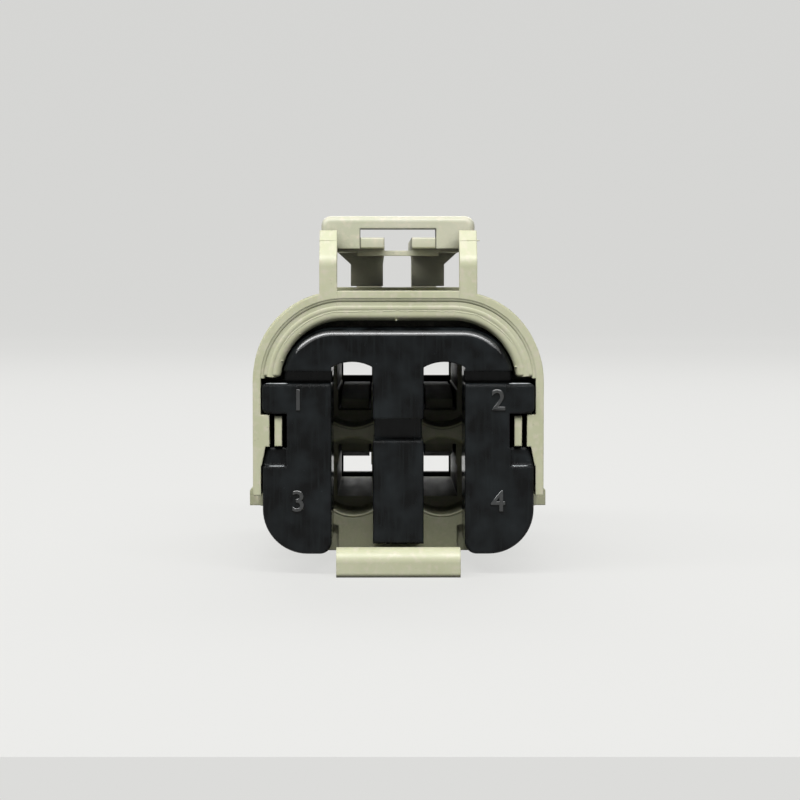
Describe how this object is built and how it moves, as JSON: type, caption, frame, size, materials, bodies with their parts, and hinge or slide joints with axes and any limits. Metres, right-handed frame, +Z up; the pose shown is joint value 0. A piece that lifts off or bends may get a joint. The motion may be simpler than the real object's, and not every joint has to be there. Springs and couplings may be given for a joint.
{
  "type": "sealed automotive connector",
  "caption": "Sealed wire connector plug with a skirted mating end, silicone interface seal, see-saw lock lever and black comb holder over its seal bores.",
  "frame": {"origin": "middle of the underside of the rail that the connector stands on, halfway along its length", "axes": "+Y from the wire side to the mating end, +X to the right seen from the wire side, +Z up to the lock lever"},
  "size_m": [0.0234, 0.036, 0.0274],
  "materials": {
    "housing_plastic": "satin",
    "lever_plastic": "satin",
    "rear_holder_plastic": "satin",
    "seal_rubber": "matte",
    "front_holder_plastic": "satin"
  },
  "bodies": {
    "connector_body": {"housing": "housing_plastic", "interface_seal": "seal_rubber"},
    "lever": {"lock_lever": "lever_plastic"},
    "wire_side_holder": {"rear_holder": "rear_holder_plastic"},
    "mating_side_holder": {"front_holder": "front_holder_plastic"}
  },
  "joints": [
    {"name": "lever_press", "type": "hinge", "parent": "connector_body", "child": "lever", "pos_m": [0, -0.0046, 0.0225], "axis": [1, 0, 0], "range_deg": [0, 5], "stiffness_Nm_per_rad": 1.2},
    {"name": "rear_holder_pull", "type": "slide", "parent": "connector_body", "child": "wire_side_holder", "axis": [0, -1, 0], "range_m": [0, 0.01]},
    {"name": "front_holder_pull", "type": "slide", "parent": "connector_body", "child": "mating_side_holder", "axis": [0, 1, 0], "range_m": [0, 0.008]}
  ]
}
